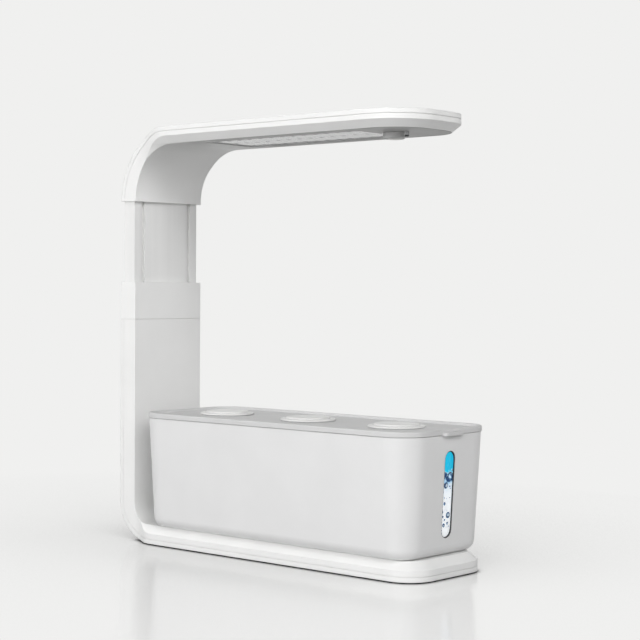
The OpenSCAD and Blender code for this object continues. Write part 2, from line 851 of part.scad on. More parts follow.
// ---------------------------------------------------------------- lid

module at_pods() {
    for (i = [0 : pods - 1]) at_pod(i) children();
}

module at_pod(i) translate([tank_x + pod_pitch * (i - (pods - 1) / 2), 0, 0]) children();

// Half of the lid across its edge: the rim with its rounded outside edge, then
// the slope down to the field. X is measured outwards from the lid's outline.
module lid_section() {
    edge = 0.4;
    translate([-rim_edge, lid_t - rim_edge]) circle(rim_edge);
    polygon([[-lid_r, 0], [-edge, 0], [0, edge], [0, lid_t - rim_edge], [-rim_edge, lid_t],
        [-lid_rim_w, lid_t], [-lid_rim_w - rim_slope, lid_field_t], [-lid_r, lid_field_t]]);
}

// Outline of the pull tab from x = start outwards.
module tab_plan(start) {
    intersection() {
        translate([start, -tab_w / 2]) square([tab_l - start, tab_w]);
        union() {
            translate([-tab_root - 1, -tab_w / 2]) square([tab_root + 1 + tab_l - tab_corner, tab_w]);
            translate([0, -tab_w / 2 + tab_corner]) square([tab_l, tab_w - 2 * tab_corner]);
            for (s = [-1, 1])
                translate([tab_l - tab_corner, s * (tab_w / 2 - tab_corner)]) circle(tab_corner);
        }
    }
}

module lid() {
    color(pale_grey) place() difference() {
        union() {
            translate([tank_x, 0, lid_low]) {
                round_all(lid_l, lid_w, lid_r) lid_section();
                translate([-lid_l / 2 + lid_r, -lid_w / 2 + lid_r, 0])
                    cube([lid_l - 2 * lid_r, lid_w - 2 * lid_r, lid_field_t]);
            }
            translate([tank_x, 0, lid_low - lip_h]) difference() {
                rounded_plate(tank_l - 2 * lip_inset, tank_w - 2 * lip_inset, tank_r - lip_inset, lip_h + 1);
                translate([0, 0, -1])
                    rounded_plate(tank_l - 2 * (lip_inset + lip_t), tank_w - 2 * (lip_inset + lip_t),
                        tank_r - lip_inset - lip_t, lip_h + 1);
            }
            // pull tab, whose lip hangs beside the rim of the tank
            translate([tank_x + lid_l / 2, 0, lid_low]) {
                linear_extrude(tab_t) tab_plan(-tab_root);
                translate([0, 0, -tab_drop]) linear_extrude(tab_drop + eps) tab_plan(0);
            }
        }
        at_pods() translate([0, 0, lid_low - 10]) cylinder(r = pod_hole_r, h = 30);
    }
}

module lid_gasket() {
    color(dark_grey) place() translate([tank_x, 0, tank_top - rabbet_d + seat_gap]) difference() {
        rounded_plate(tank_l - 2 * (tank_wall - rabbet_w) - 2 * seat_gap,
            tank_w - 2 * (tank_wall - rabbet_w) - 2 * seat_gap,
            tank_r - tank_wall + rabbet_w - seat_gap, rabbet_d);
        translate([0, 0, -1])
            rounded_plate(tank_l - 2 * lip_inset, tank_w - 2 * lip_inset, tank_r - lip_inset, rabbet_d + 2);
    }
}

// ---------------------------------------------------------------- pods

function basket_radius(depth) = basket_r - (basket_r - basket_low_r) * depth / basket_depth;

// Net cup with a broad flange, slotted so that water and roots pass.
module pod_basket() {
    cup_top = flange_z + flange_t;
    floor_z = lid_field - basket_depth;
    edge = 0.4;
    color(white) difference() {
        union() {
            // the flange rises towards the cap, with a fine groove beside it
            rotate_extrude() polygon([[basket_r - basket_wall, flange_z],
                [flange_r - edge, flange_z], [flange_r, flange_z + edge], [flange_r, cup_top - 2 * edge],
                [flange_r - edge, cup_top - edge], [cap_seat_r + cap_groove, cup_top],
                [cap_seat_r, cup_top - cap_groove], [basket_r - basket_wall, cup_top - cap_groove]]);
            translate([0, 0, floor_z])
                cylinder(r1 = basket_low_r, r2 = basket_r, h = flange_z + 0.5 - floor_z);
        }
        translate([0, 0, floor_z + basket_wall])
            cylinder(r1 = basket_low_r - basket_wall, r2 = basket_r - basket_wall,
                h = cup_top - cap_seat_d - floor_z - basket_wall);
        translate([0, 0, cup_top - cap_seat_d - eps]) cylinder(r = cap_seat_r, h = cap_seat_d + 1);
        for (i = [0 : basket_slots - 1]) rotate([0, 0, 360 / basket_slots * (i + 0.5)])
            translate([basket_low_r - 8, -slot_w / 2, floor_z - 1]) cube([20, slot_w, slot_h]);
    }
}

module pod_sponge() {
    floor_z = lid_field - basket_depth + basket_wall;
    gap = 0.2;
    color(sponge_brown) translate([0, 0, floor_z])
        cylinder(r1 = basket_low_r - basket_wall - gap, h = sponge_h,
            r2 = basket_radius(basket_depth - basket_wall - sponge_h) - basket_wall - 1.5 * gap);
}

// Cap with a raised rim, a dished middle and a short plug.
module pod_cap() {
    seat = flange_z + flange_t - cap_seat_d + seat_gap;
    top = flange_z + flange_t + cap_rise;
    plug_r = basket_r - basket_wall - 2 * seat_gap;
    plug_h = 1;
    plug_wall = 1.4;
    dish_r = cap_r - 3.2;
    dish_d = 1.2;
    ball = (dish_r * dish_r + dish_d * dish_d) / (2 * dish_d);
    edge = 0.9;
    color(white) rotate_extrude() difference() {
        union() {
            translate([0, seat]) square([cap_r - edge, top - seat]);
            translate([0, seat]) square([cap_r, top - seat - edge]);
            translate([cap_r - edge, top - edge]) circle(edge);
            translate([plug_r - plug_wall, seat - plug_h]) square([plug_wall, 2 * plug_h]);
        }
        translate([0, top - dish_d + ball]) circle(ball, $fn = 360);
    }
}

// ---------------------------------------------------------------- nodes

base_frame();
back_cover();
collar();
guide_keys();
feet();
cover_screws();
control_board();
power_inlet();
post();
arm_shell();
arm_cover();
led_board();
led_chips();
lens_panel();
button_housing();
lamp_button();
lamp_switch();
status_light();
arm_screws();
tank_shell();
sight_window();
window_gasket();
lid();
lid_gasket();
place() at_pod(0) pod_basket();  // pod_basket_1
place() at_pod(1) pod_basket();  // pod_basket_2
place() at_pod(2) pod_basket();  // pod_basket_3
place() at_pod(0) pod_sponge();  // pod_sponge_1
place() at_pod(1) pod_sponge();  // pod_sponge_2
place() at_pod(2) pod_sponge();  // pod_sponge_3
place() at_pod(0) pod_cap();  // pod_cap_1
place() at_pod(1) pod_cap();  // pod_cap_2
place() at_pod(2) pod_cap();  // pod_cap_3
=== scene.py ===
import math

import bmesh
import bpy
import numpy as np
from mathutils import Matrix, Vector


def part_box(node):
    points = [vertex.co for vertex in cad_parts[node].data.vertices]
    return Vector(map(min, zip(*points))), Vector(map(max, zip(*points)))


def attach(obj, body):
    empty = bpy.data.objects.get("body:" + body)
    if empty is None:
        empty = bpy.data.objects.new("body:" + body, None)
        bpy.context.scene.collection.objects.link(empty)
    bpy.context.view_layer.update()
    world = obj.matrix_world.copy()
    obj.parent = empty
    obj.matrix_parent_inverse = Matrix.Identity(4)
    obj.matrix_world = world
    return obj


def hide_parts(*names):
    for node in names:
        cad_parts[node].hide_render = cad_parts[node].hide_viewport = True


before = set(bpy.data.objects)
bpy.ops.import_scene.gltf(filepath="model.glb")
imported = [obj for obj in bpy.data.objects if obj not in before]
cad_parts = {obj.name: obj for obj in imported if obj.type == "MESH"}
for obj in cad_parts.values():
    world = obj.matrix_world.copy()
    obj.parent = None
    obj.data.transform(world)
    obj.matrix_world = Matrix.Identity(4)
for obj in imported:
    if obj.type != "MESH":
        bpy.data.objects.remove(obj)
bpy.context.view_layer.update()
MM = 0.001


# ---- Base frame, back cover and collar ----
# The L-shaped base and column are two ABS mouldings that meet in a fine line
# along the edge, with a collar moulding pressed over the top of the column.
# The tool is spark-eroded, which leaves a satin skin with a very fine grain.

PLASTIC_IOR = 1.53
FLOW_CLOUD_MM = 60
HANDLING_MM = 25
HANDLING_WEAR = 0.04
# the tool's grain is about 0.1 mm; it is drawn at 0.5 mm, so that it shows close up
FRAME_SKIN = {"light": "#F5F5F4", "dark": "#F1F1F0", "roughness": 0.36, "grain_mm": 0.5, "depth_mm": 0.006}
FRAME_EDGE_MM = 0.5
# the outside edges of the covers are rounded off more softly than those of the frame
COVER_EDGE_MM = 1.5


def linear(hex_code):
    """Linear RGBA of an sRGB hex colour."""
    srgb = np.array([int(hex_code[i:i + 2], 16) for i in (1, 3, 5)]) / 255
    rgb = np.where(srgb <= 0.04045, srgb / 12.92, ((srgb + 0.055) / 1.055) ** 2.4)
    return (*rgb.tolist(), 1.0)


def add(tree, kind, inputs=(), output=None, **settings):
    """Adds a node and gives back its named output, or else its first one in use. Its settings are made
    first, then its inputs by name or in order, each a value or another node's output."""
    node = tree.nodes.new("ShaderNode" + kind)
    for key, value in settings.items():
        setattr(node, key, value)
    for key, value in inputs.items() if isinstance(inputs, dict) else enumerate(inputs):
        if isinstance(value, bpy.types.NodeSocket):
            tree.links.new(value, node.inputs[key])
        else:
            node.inputs[key].default_value = value
    if output:
        return node.outputs[output]
    return next((socket for socket in node.outputs if socket.enabled), None)


def material(name, skin, **settings):
    """A material whose surface is made by skin, from its node tree and each point's place on the piece."""
    finish = bpy.data.materials.new(name)
    finish.use_nodes = True
    tree = finish.node_tree
    tree.nodes.clear()
    surface = skin(tree, add(tree, "TexCoord", output="Object"), **settings)
    add(tree, "OutputMaterial", {"Surface": surface})
    return finish


def patches(tree, place, size_mm, low=0.0, high=1.0, detail=2.0, roughness=0.5):
    """Uneven value from low to high, in patches about size_mm wide."""
    uneven = add(tree, "TexNoise", {"Vector": place, "Scale": 1 / (size_mm * MM), "Detail": detail,
                                    "Roughness": roughness})
    return add(tree, "MapRange", {"Value": uneven, "From Min": 0.3, "From Max": 0.7,
                                  "To Min": low, "To Max": high})


def grain(tree, place, size_mm, depth_mm, edge_mm=0.0):
    """Normal of a grained skin; where edge_mm is set, sharp edges catch light as such a radius would."""
    height = add(tree, "TexNoise", {"Vector": place, "Scale": 1 / (size_mm * MM), "Detail": 3.0,
                                    "Roughness": 0.6})
    relief = {"Height": height, "Distance": depth_mm * MM}
    if edge_mm:
        relief["Normal"] = add(tree, "Bevel", {"Radius": edge_mm * MM}, samples=4)
    return add(tree, "Bump", relief)


def moulded_plastic(tree, place, light, dark, roughness, grain_mm, depth_mm, edge_mm=0.0):
    """Plastic as it leaves its tool: faint flow clouds in the colour, gloss made uneven by handling and
    a fine grain."""
    cloud = patches(tree, place, FLOW_CLOUD_MM, detail=3.0)
    return add(tree, "BsdfPrincipled", {
        "Base Color": add(tree, "Mix", {"Factor": cloud, "A": linear(light), "B": linear(dark)},
                          data_type="RGBA"),
        "Roughness": patches(tree, place, HANDLING_MM, roughness - HANDLING_WEAR,
                             roughness + HANDLING_WEAR, detail=4.0),
        "IOR": PLASTIC_IOR,
        "Normal": grain(tree, place, grain_mm, depth_mm, edge_mm)})


def dress(finish, *names):
    """Gives CAD nodes their finish."""
    for name in names:
        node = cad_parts[name]
        node.data.materials.clear()
        node.data.materials.append(finish)


frame_abs = material("satin_moulded_abs", moulded_plastic, edge_mm=FRAME_EDGE_MM, **FRAME_SKIN)
cover_abs = material("satin_moulded_abs_soft_edge", moulded_plastic, edge_mm=COVER_EDGE_MM, **FRAME_SKIN)
dress(frame_abs, "base_frame", "collar")
dress(cover_abs, "back_cover")


# ---- Guide keys ----
# Two acetal keys, pressed into the collar, run in the grooves of the post.
# Acetal is waxy and slightly off-white, with a soft gloss.

key_acetal = material("moulded_acetal", moulded_plastic, light="#E6E5E1", dark="#E0DFDA", roughness=0.3,
                      grain_mm=0.8, depth_mm=0.004, edge_mm=0.3)
dress(key_acetal, "guide_keys")


# ---- Rubber feet ----
# Four round feet of moulded silicone rubber sit in pockets of the bottom cover.
# Fine rings under each keep it from gliding.

FOOT_R = 7 * MM
FOOT_EDGE_R = 0.6 * MM
FOOT_FACE_MARGIN = 0.8 * MM
RING_PITCH = 1.6 * MM
RING_DEPTH = 0.25 * MM
RING_START_R = 1.0 * MM
RING_MARGIN = 1.8 * MM
MERGE_GAP = 0.001 * MM
DUST_MM = 4


def make(name, grids, finish, body, smooth_angle=30.0):
    """One object from surface grids of rows by columns of points. Points that meet are merged, which
    closes seams and poles, and faces are turned outwards."""
    points, quads, start = [], [], 0
    for surface in grids:
        rows, columns = surface.shape[:2]
        corner = (np.arange(rows - 1)[:, None] * columns + np.arange(columns - 1)).ravel() + start
        quads.append(np.stack([corner, corner + 1, corner + columns + 1, corner + columns], axis=1))
        points.append(surface.reshape(-1, 3))
        start += rows * columns
    mesh = bpy.data.meshes.new(name)
    mesh.from_pydata(np.concatenate(points).tolist(), [], np.concatenate(quads).tolist())
    build = bmesh.new()
    build.from_mesh(mesh)
    bmesh.ops.remove_doubles(build, verts=build.verts, dist=MERGE_GAP)
    bmesh.ops.dissolve_degenerate(build, edges=build.edges, dist=MERGE_GAP / 10)
    bmesh.ops.recalc_face_normals(build, faces=build.faces)
    build.to_mesh(mesh)
    build.free()
    mesh.shade_smooth()
    mesh.set_sharp_from_angle(angle=math.radians(smooth_angle))
    mesh.materials.append(finish)
    piece = bpy.data.objects.new(name, mesh)
    bpy.context.scene.collection.objects.link(piece)
    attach(piece, body)
    return piece


def lathe(profile, centre, count):
    """Profile of radius and height turned once about a vertical line through centre, in count steps."""
    profile = np.asarray(profile, float)
    angle = np.linspace(0, 2 * math.pi, count + 1)
    radius, height = profile[:, :1], profile[:, 1:]
    return np.stack([centre[0] + radius * np.cos(angle), centre[1] + radius * np.sin(angle),
                     centre[2] + height + 0 * angle], axis=2)


def foot_profile(top):
    """Radius and height from the middle of the underside to the top. On the underside the height rises
    and falls as a cosine of the radius, which makes the rings, and a small round leads to the side."""
    face_r = np.linspace(RING_START_R, FOOT_R - FOOT_FACE_MARGIN, 40)
    ring = RING_DEPTH * (0.5 - 0.5 * np.cos(2 * math.pi * face_r / RING_PITCH))
    face = np.stack([face_r, np.where(face_r < FOOT_R - RING_MARGIN, ring, 0)], axis=1)
    edge = [[FOOT_R - FOOT_EDGE_R, 0], [FOOT_R - FOOT_EDGE_R / 3, FOOT_EDGE_R / 3], [FOOT_R, FOOT_EDGE_R]]
    return np.concatenate([[[0, 0]], face, edge, [[FOOT_R, top], [0, top]]])


def soft_rubber(tree, place):
    """Moulded silicone rubber: dark and matt, slightly dusty, with a weak sheen."""
    dust = patches(tree, place, DUST_MM, detail=4.0)
    return add(tree, "BsdfPrincipled", {
        "Base Color": add(tree, "Mix", {"Factor": dust, "A": linear("#3A3A3C"), "B": linear("#2F2F31")},
                          data_type="RGBA"),
        "Roughness": patches(tree, place, DUST_MM, 0.62, 0.75, detail=4.0),
        "IOR": 1.43, "Sheen Weight": 0.1, "Sheen Roughness": 0.5,
        "Normal": grain(tree, place, size_mm=0.6, depth_mm=0.01)})


foot_rubber = material("moulded_silicone", soft_rubber)
low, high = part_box("feet")
feet = make("rubber_feet", [
    lathe(foot_profile(high.z), (x, y, 0), 48)
    for x in (low.x + FOOT_R, high.x - FOOT_R) for y in (low.y + FOOT_R, high.y - FOOT_R)],
    foot_rubber, "base")
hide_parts("feet")


# ---- Control board and power inlet ----
# A solder-masked glass-fibre board with its dimmer parts stands on the bottom
# cover, and a nylon barrel socket sits low in the back of the column.

BOARD_TOP = 9.6 * MM
TRACE_CELL = 6 * MM


def solder_masked(tree, place):
    """Green solder mask with faint copper traces under it. What stands on the board is dark epoxy."""
    mask, trace, epoxy = linear("#1E5B37"), linear("#2F7A4D"), linear("#2A2B2D")
    lines = add(tree, "TexBrick", {"Vector": place, "Color1": mask, "Color2": mask, "Mortar": trace,
                                   "Scale": 1 / TRACE_CELL, "Mortar Size": 0.03, "Brick Width": 0.7,
                                   "Row Height": 0.4})
    height = add(tree, "SeparateXYZ", [place], output="Z")
    above = add(tree, "Math", [height, BOARD_TOP], operation="GREATER_THAN")
    return add(tree, "BsdfPrincipled", {
        "Base Color": add(tree, "Mix", {"Factor": above, "A": lines, "B": epoxy}, data_type="RGBA"),
        "Roughness": patches(tree, place, 3, 0.3, 0.45),
        "IOR": 1.5})


dress(material("solder_masked_board", solder_masked), "control_board")
inlet_nylon = material("moulded_nylon", moulded_plastic, light="#222224", dark="#1B1B1C", roughness=0.45,
                       grain_mm=0.6, depth_mm=0.01, edge_mm=0.2)
dress(inlet_nylon, "power_inlet", "lamp_switch")


# ---- Post ----
# An extruded ABS post with two guide grooves slides in the column.
# Extrusion leaves very faint draw lines along it.

DRAW_LINE_MM = 0.8
DRAW_STRETCH = 50


def extruded_plastic(tree, place):
    """Extruded ABS: clouds, gloss and grain are all drawn out along the post, into fine lines."""
    along = add(tree, "Mapping", {"Vector": place, "Scale": (1.0, 1.0, 1 / DRAW_STRETCH)})
    cloud = patches(tree, along, 6)
    return add(tree, "BsdfPrincipled", {
        "Base Color": add(tree, "Mix", {"Factor": cloud, "A": linear("#F0F0EF"), "B": linear("#ECECEB")},
                          data_type="RGBA"),
        "Roughness": patches(tree, along, DRAW_LINE_MM, 0.3, 0.4, detail=3.0, roughness=0.6),
        "IOR": PLASTIC_IOR,
        "Normal": grain(tree, along, DRAW_LINE_MM, depth_mm=0.006, edge_mm=0.4)})


dress(material("extruded_abs", extruded_plastic), "post")


# ---- Elbow and lamp arm ----
# The shell with its bevel and elbow and the cover clipped over it are satin ABS
# as on the base, with the same fine line between them. Round the lamp the
# shell's underside is left matt, with shade painted into it as a darker grey, and so is the button's
# housing on it.

UNDERSIDE_TOP = 0.4 * MM
# painted shade: the grey that the underside's colour is darkened to
UNDERSIDE_PAINTED_SHADE = "#A9A9A8"
ELBOW_BLEND = (-150 * MM, -60 * MM)
SATIN_SPECULAR = 0.5
UNDERSIDE_SPECULAR = 0.08


def matt_and_shaded_below(tree, place):
    """The frame's satin skin, made matt on the underside, where the shine is taken from it and shade is
    painted in as a darker grey; both fade out into the elbow."""
    surface = moulded_plastic(tree, place, edge_mm=FRAME_EDGE_MM, **FRAME_SKIN)
    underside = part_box("button_housing")[1].z + UNDERSIDE_TOP
    below = add(tree, "Math", [add(tree, "SeparateXYZ", [place], output="Z"), underside],
                operation="LESS_THAN")
    outward = add(tree, "MapRange", {"Value": add(tree, "SeparateXYZ", [place], output="X"),
                                     "From Min": ELBOW_BLEND[0], "From Max": ELBOW_BLEND[1]})
    # matt marks the underside, both for its lower shine and for the painted shade in its colour
    matt = add(tree, "Math", [below, outward], operation="MULTIPLY")
    satin = surface.node.inputs["Base Color"].links[0].from_socket
    colour = add(tree, "Mix", {"Factor": matt, "A": satin, "B": linear(UNDERSIDE_PAINTED_SHADE)}, data_type="RGBA")
    shine = add(tree, "MapRange", {"Value": matt, "To Min": SATIN_SPECULAR, "To Max": UNDERSIDE_SPECULAR})
    tree.links.new(colour, surface.node.inputs["Base Color"])
    tree.links.new(shine, surface.node.inputs["Specular IOR Level"])
    return surface


# the housing's darker grey is painted shade; its matt grain and roughness are its own
shaded_housing_abs = material("matt_moulded_abs_painted_shade", moulded_plastic, light="#CDCDCC", dark="#C6C6C5", roughness=0.55,
                       grain_mm=0.5, depth_mm=0.01, edge_mm=0.5)
dress(material("satin_moulded_abs_matt_below", matt_and_shaded_below), "arm_shell")
dress(shaded_housing_abs, "button_housing")
dress(cover_abs, "arm_cover")


# ---- Lamp ----
# A white-masked board carries rows of LED chips under a frosted polycarbonate
# panel. The brighter kind of chip, in every other row, shows through the frost
# as a small dull mark.

# the rows without marks are set half a pitch on, so the panel holds 12 pitches and a half
MARK_PITCHES = 12.5
MARK_ROWS = 3
MARK_MARGIN = (10 * MM, 8 * MM)
MARK_HALF = (1.9 * MM, 2.9 * MM)
FROST_ROUGHNESS, MARK_ROUGHNESS = 0.12, 0.34
FROST_SPECULAR, MARK_SPECULAR = 0.45, 0.02


def phosphor_epoxy(tree, place):
    """Epoxy over a chip, made cloudy and yellowish by its phosphor."""
    speck = add(tree, "TexNoise", {"Vector": place, "Scale": 1 / (0.6 * MM)})
    return add(tree, "BsdfPrincipled", {
        "Base Color": add(tree, "Mix", {"Factor": speck, "A": linear("#7F7B62"), "B": linear("#6A6754")},
                          data_type="RGBA"),
        "Roughness": 0.35, "IOR": 1.5})


def frosted_sheet(tree, place):
    """Polycarbonate sheet with a fine frost and oval marks on a grid of rows and columns. A point is in
    a mark where its distance from the nearest one, in halves of a mark, is under 1."""
    low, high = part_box("lens_panel")
    pitch_x = (high.x - low.x - 2 * MARK_MARGIN[0]) / MARK_PITCHES
    pitch_y = (high.y - low.y - 2 * MARK_MARGIN[1]) / (MARK_ROWS - 1)
    away = []
    for axis, start, pitch, margin, half in zip("XY", low, (pitch_x, pitch_y), MARK_MARGIN, MARK_HALF):
        count = add(tree, "Math", [add(tree, "SeparateXYZ", [place], output=axis), 1 / pitch,
                                   -(start + margin) / pitch], operation="MULTIPLY_ADD")
        off = add(tree, "Math", [count, 0.5], operation="PINGPONG")
        away.append(add(tree, "Math", [off, pitch / half], operation="MULTIPLY"))
    distance = add(tree, "VectorMath", [add(tree, "CombineXYZ", away)], operation="LENGTH")
    mark = add(tree, "MapRange", {"Value": distance, "From Min": 1.1, "From Max": 0.9})
    cloud = add(tree, "TexNoise", {"Vector": place, "Scale": 1 / (30 * MM)})
    frost = add(tree, "Mix", {"Factor": cloud, "A": linear("#BEC0C0"), "B": linear("#B6B8B8")},
                data_type="RGBA")
    return add(tree, "BsdfPrincipled", {
        "Base Color": add(tree, "Mix", {"Factor": mark, "A": frost, "B": linear("#303234")},
                          data_type="RGBA"),
        "Roughness": add(tree, "MapRange", {"Value": mark, "To Min": FROST_ROUGHNESS,
                                            "To Max": MARK_ROUGHNESS}),
        "Specular IOR Level": add(tree, "MapRange", {"Value": mark, "To Min": FROST_SPECULAR,
                                                     "To Max": MARK_SPECULAR}),
        "IOR": 1.58, "Alpha": 0.95,
        "Normal": grain(tree, place, size_mm=0.7, depth_mm=0.004)})


led_mask = material("white_solder_mask", moulded_plastic, light="#DADCDC", dark="#D2D4D4", roughness=0.35,
                    grain_mm=1.0, depth_mm=0.004)
dress(led_mask, "led_board")
dress(material("phosphor_epoxy", phosphor_epoxy), "led_chips")
dress(material("frosted_polycarbonate", frosted_sheet), "lens_panel")


# ---- Push button and status light ----
# An acetal button in a round ABS housing under the arm, and beside it a small
# smoked light pipe that shows when the timer runs.

STATUS_TIP = 1.9 * MM


def smoked_light_pipe(tree, place):
    """Polished smoked acrylic: dark at its tip, under a clear gloss, and pale above it in its sleeve."""
    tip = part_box("status_light")[0].z + STATUS_TIP
    sleeve = add(tree, "Math", [add(tree, "SeparateXYZ", [place], output="Z"), tip],
                 operation="GREATER_THAN")
    speck = add(tree, "TexNoise", {"Vector": place, "Scale": 1 / (1.5 * MM)})
    smoked = add(tree, "Mix", {"Factor": speck, "A": linear("#26282A"), "B": linear("#313437")},
                 data_type="RGBA")
    return add(tree, "BsdfPrincipled", {
        "Base Color": add(tree, "Mix", {"Factor": sleeve, "A": smoked, "B": linear("#C4C6C7")},
                          data_type="RGBA"),
        "Roughness": patches(tree, place, 1.0, 0.12, 0.2),
        "IOR": 1.49, "Coat Weight": 1.0, "Coat Roughness": 0.05})


dress(key_acetal, "lamp_button")
dress(material("smoked_acrylic", smoked_light_pipe), "status_light")


# ---- Screws ----
# Zinc-plated steel screws with a cross recess hold the bottom cover, and two
# more hold the elbow to the tenon of the post.

HEAD_R = 2.9 * MM
HEAD_H = 1.8 * MM
HEAD_EDGE_R = 0.5 * MM
SHANK_R = 1.5 * MM
SCREW_LENGTH = 9 * MM
POINT_LENGTH = 1.2 * MM
THREAD_PITCH = 1.1 * MM
THREAD_DEPTH = 0.28 * MM
THREAD_MARGIN = 1.3 * MM
RECESS_DEPTH = 1.1 * MM
RECESS_ARM = 1.7 * MM
RECESS_WIDTH = 0.45 * MM
SECOND_SCREW = 118 * MM


def screw_surface():
    """Head, shank and point turned about Z, head down at z = 0. Inside the cross of the recess the
    head's face is pushed in; on the shank the radius rises and falls with height and angle, as a
    thread does."""
    face_r = np.linspace(0, HEAD_R - HEAD_EDGE_R, 14)
    bend = np.linspace(0, math.pi / 2, 5)
    shank_z = np.linspace(HEAD_H, SCREW_LENGTH - POINT_LENGTH, 60)
    radius = np.concatenate([face_r, HEAD_R - HEAD_EDGE_R * (1 - np.sin(bend)), [HEAD_R],
                             0 * shank_z + SHANK_R, [0]])
    height = np.concatenate([0 * face_r, HEAD_EDGE_R * (1 - np.cos(bend)), [HEAD_H],
                             shank_z, [SCREW_LENGTH]])
    angle = np.linspace(0, 2 * math.pi, 65)
    x = radius[:, None] * np.cos(angle)
    y = radius[:, None] * np.sin(angle)
    slot_across = np.minimum(abs(x), abs(y))
    slot_along = np.maximum(abs(x), abs(y))
    on_face = (np.arange(len(radius)) < len(face_r))[:, None]
    pushed = on_face * np.clip(1 - slot_along / RECESS_ARM, 0, 1) ** 0.5 * (slot_across < RECESS_WIDTH)
    turn = height[:, None] / THREAD_PITCH + angle / (2 * math.pi)
    on_shank = ((height > HEAD_H) & (height < SCREW_LENGTH - THREAD_MARGIN))[:, None]
    cut = 1 - on_shank * THREAD_DEPTH / SHANK_R * (0.5 - 0.5 * np.cos(2 * math.pi * turn))
    return np.stack([x * cut, y * cut, height[:, None] + RECESS_DEPTH * pushed], axis=2)


def zinc_plated(tree, place):
    """Zinc plating: bright, slightly blue grey, with a fine mottle from the bath."""
    mottle = add(tree, "TexNoise", {"Vector": place, "Scale": 1 / (0.7 * MM), "Detail": 4.0})
    return add(tree, "BsdfPrincipled", {
        "Base Color": add(tree, "Mix", {"Factor": mottle, "A": linear("#B9BBBF"), "B": linear("#9B9DA3")},
                          data_type="RGBA"),
        "Roughness": patches(tree, place, 0.7, 0.22, 0.4, detail=4.0),
        "Metallic": 1.0})


screw_steel = material("zinc_plated_steel", zinc_plated)
one_screw = screw_surface()
low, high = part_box("cover_screws")
first_x, last_x = low.x + HEAD_R, high.x - HEAD_R
cover_screws = make("cross_screws_base", [
    one_screw + np.array([x, side * (high.y - HEAD_R), low.z])
    for x in (first_x, first_x + SECOND_SCREW, last_x) for side in (-1, 1)],
    screw_steel, "base")
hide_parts("cover_screws")

low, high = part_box("arm_screws")
lying = one_screw[:, :, [2, 1, 0]] * np.array([1, 1, -1])
arm_screws = make("cross_screws_arm", [
    lying + np.array([low.x, side * (high.y - HEAD_R), (low.z + high.z) / 2]) for side in (-1, 1)],
    screw_steel, "mast")
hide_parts("arm_screws")


# ---- Tank ----
# A deep ABS moulding with drafted walls that stands on the base and lifts off
# for cleaning. Its skin is a little finer than the frame's.

tank_abs = material("satin_tank_abs", moulded_plastic, light="#E9E9E9", dark="#E5E5E5", roughness=0.4,
                    grain_mm=0.5, depth_mm=0.005, edge_mm=0.5)
dress(tank_abs, "tank_shell")


# ---- Sight window ----
# A clear acrylic lens is clamped in the end wall against a rubber gasket, and
# the blue-tinted feed water shows behind it with bubbles on the inside.

WINDOW_MIDDLE = (193.04 * MM, 0.0, 76.3 * MM)
WALL_LEAN = math.atan(6.3 / 112)
PANE_HALF = 7.1 * MM
PANE_HEIGHT = 79 * MM
WATER_FRONT = -1.35 * MM
WATER_BACK = -4.4 * MM
WATER_EDGE = 0.3 * MM
# position up the window from 0 to 1, and colour: pale water, a blue rim of splashes at its level with a
# painted highlight as a thin pale line along its top, and lit blue air above it
LEVEL_COLOURS = ((0.0, "#FAFCFE"), (0.5, "#F6FAFE"), (0.6, "#DDEBF8"), (0.66, "#8FC0E0"),
                 (0.675, "#0A3C70"), (0.745, "#062A58"), (0.755, "#CDEFFA"), (0.775, "#7FD6F2"),
                 (0.79, "#00BAE2"), (1.0, "#00C2E8"))
# the splashes fade in and out over these positions, below and above the level
SPLASH_BELOW = (0.62, 0.69)
SPLASH_ABOVE = (0.82, 0.77)

BUBBLES = 26
BUBBLE_R = (0.35 * MM, 1.1 * MM)
# the higher this power, the more of the bubbles are small
BUBBLE_CROWDING = 2.2
BUBBLE_BAND = (0.03, 0.65)
BUBBLE_GAP = 0.3 * MM
BUBBLE_RISE = 0.45 * MM
BUBBLE_RISE_POWER = 0.3
BUBBLE_ROOT = 0.1 * MM
# across, up and radius in mm of the large bubbles
LARGE_BUBBLES = ((-2.6, 8.5, 3.1), (2.8, -19.5, 3.0), (-3.0, -28.5, 1.9), (2.4, -27.0, 1.4),
                 (-3.2, -8.5, 1.6))
# distance from a bubble's middle as a share of its radius, and colour: clear with a dark refracted rim
RIM_COLOURS = ((0.0, "#F4F9FE"), (0.5, "#BBD8EE"), (0.62, "#0C3F78"), (0.9, "#08305F"), (1.0, "#4F8FC0"))


def on_wall(out, across, up):
    """Points given by distance out of the end wall, across it and up it."""
    lean_x, lean_z = math.cos(WALL_LEAN), math.sin(WALL_LEAN)
    return np.stack([WINDOW_MIDDLE[0] + out * lean_x + up * lean_z, WINDOW_MIDDLE[1] + across,
                     WINDOW_MIDDLE[2] - out * lean_z + up * lean_x], axis=-1)


def stadium(half_width, height, count=24):
    """Outline of a slot with round ends, as across and up: a half circle at each end of a rectangle."""
    turn = np.linspace(0, math.pi, count)
    reach = height / 2 - half_width
    across = half_width * np.concatenate([np.cos(turn), -np.cos(turn)])
    up = np.concatenate([reach + half_width * np.sin(turn), -reach - half_width * np.sin(turn)])
    return np.append(across, across[0]), np.append(up, up[0])


def slab(across, up, levels):
    """Closed plate: the outline is drawn at each level as (distance out, scale), from back to front."""
    return np.stack([on_wall(out + 0 * across, across * size, up * size) for out, size in levels])


